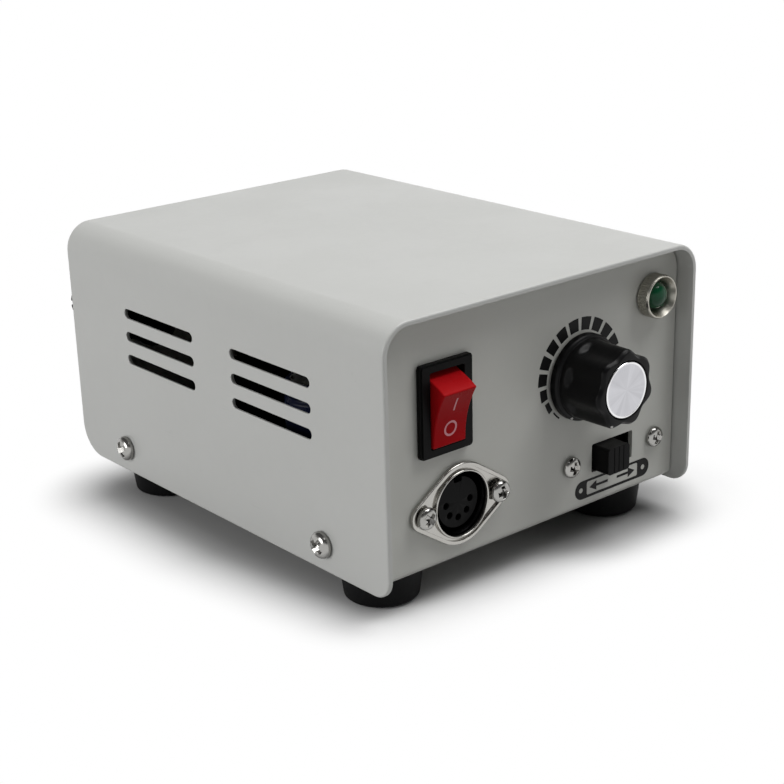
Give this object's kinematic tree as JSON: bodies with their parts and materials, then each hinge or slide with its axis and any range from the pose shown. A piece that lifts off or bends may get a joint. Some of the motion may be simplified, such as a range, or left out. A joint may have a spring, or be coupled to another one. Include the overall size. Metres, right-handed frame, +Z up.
{
  "type": "dental lab micromotor control box",
  "caption": "Bench control box for a dental laboratory micromotor: folded grey steel case on rubber feet, with power rocker, speed knob, direction slide, pilot lamp and round plug socket.",
  "frame": {"origin": "on the surface that the feet stand on, at the centre of the whole outline's box", "axes": "+Z up; the front panel with the controls faces -Y; +X is to the right as seen from the front"},
  "size_m": [0.1028, 0.145, 0.07],
  "materials": {
    "grey_paint": "light warm grey enamel, satin",
    "panel_paint": "light warm grey enamel with dark printing",
    "black_plastic": "black moulded plastic, satin",
    "knob_black": "black moulded plastic, semi-gloss",
    "red_plastic": "bright red moulded plastic",
    "black_rubber": "black moulded rubber",
    "nickel": "bright nickel plate",
    "zinc_steel": "zinc-plated steel",
    "tinned_brass": "tinned brass",
    "satin_aluminium": "satin aluminium",
    "green_lens": "clear green plastic",
    "board_green": "green solder mask",
    "core_steel": "varnished steel laminations",
    "white_nylon": "natural nylon",
    "winding": "enamelled copper wire under amber tape",
    "capacitor_sleeve": "dark blue shrink sleeve",
    "fuse_glass": "clear glass with plated end caps"
  },
  "bodies": {
    "case": {"cover": "grey_paint", "chassis": "panel_paint", "cover_screw_front_left": "zinc_steel", "cover_screw_front_right": "zinc_steel", "cover_screw_rear_left": "zinc_steel", "cover_screw_rear_right": "zinc_steel", "foot_front_left": "black_rubber", "foot_front_right": "black_rubber", "foot_rear_left": "black_rubber", "foot_rear_right": "black_rubber", "foot_screw_front_left": "zinc_steel", "foot_screw_front_right": "zinc_steel", "foot_screw_rear_left": "zinc_steel", "foot_screw_rear_right": "zinc_steel", "power_switch_housing": "black_plastic", "power_terminal_1": "tinned_brass", "power_terminal_2": "tinned_brass", "socket_shell": "nickel", "socket_insert": "black_plastic", "socket_screw_left": "zinc_steel", "socket_screw_right": "zinc_steel", "potentiometer": "nickel", "potentiometer_nut": "nickel", "lamp_bezel": "nickel", "lamp": "green_lens", "lamp_nut": "nickel", "direction_switch_frame": "zinc_steel", "direction_screw_left": "zinc_steel", "direction_screw_right": "zinc_steel", "selector_switch_frame": "zinc_steel", "selector_screw_left": "zinc_steel", "selector_screw_right": "zinc_steel", "fuse_holder": "black_plastic", "fuse_holder_nut": "nickel", "cord_bushing": "black_rubber", "pedal_jack": "black_plastic", "pedal_jack_nut": "nickel", "transformer_core": "core_steel", "transformer_bobbin": "white_nylon", "transformer_winding": "winding", "transformer_strap": "zinc_steel", "transformer_screw_front": "zinc_steel", "transformer_screw_rear": "zinc_steel", "circuit_board": "board_green", "board_post_1": "white_nylon", "board_post_2": "white_nylon", "board_post_3": "white_nylon", "board_post_4": "white_nylon", "heat_sink": "satin_aluminium", "power_transistor": "black_plastic", "smoothing_capacitor": "capacitor_sleeve", "relay": "black_plastic"},
    "power_rocker": {"power_rocker": "red_plastic"},
    "speed_knob": {"speed_knob": "knob_black", "knob_cap": "satin_aluminium", "potentiometer_shaft": "zinc_steel"},
    "direction_slider": {"direction_slider": "black_plastic"},
    "selector_slider": {"selector_slider": "black_plastic"},
    "fuse": {"fuse": "fuse_glass"},
    "fuse_cap": {"fuse_cap": "knob_black"}
  },
  "joints": [
    {"name": "power_switch", "type": "hinge", "parent": "case", "child": "power_rocker", "pos_m": [-0.0286, -0.0554, 0.04699], "axis": [-1, 0, 0], "range_deg": [0, 32]},
    {"name": "speed_control", "type": "hinge", "parent": "case", "child": "speed_knob", "pos_m": [0.0142, -0.0579, 0.0434], "axis": [0, 1, 0], "range_deg": [0, 300]},
    {"name": "direction_slide", "type": "slide", "parent": "case", "child": "direction_slider", "axis": [1, 0, 0], "range_m": [0, 0.0056]},
    {"name": "selector_slide", "type": "slide", "parent": "case", "child": "selector_slider", "axis": [-1, 0, 0], "range_m": [0, 0.0056]},
    {"name": "fuse_pull", "type": "slide", "parent": "case", "child": "fuse", "axis": [0, 1, 0], "range_m": [0, 0.02]},
    {"name": "fuse_cap_turn", "type": "hinge", "parent": "fuse", "child": "fuse_cap", "pos_m": [-0.0384, 0.059, 0.0464], "axis": [0, 1, 0], "range_deg": [0, 90]}
  ]
}
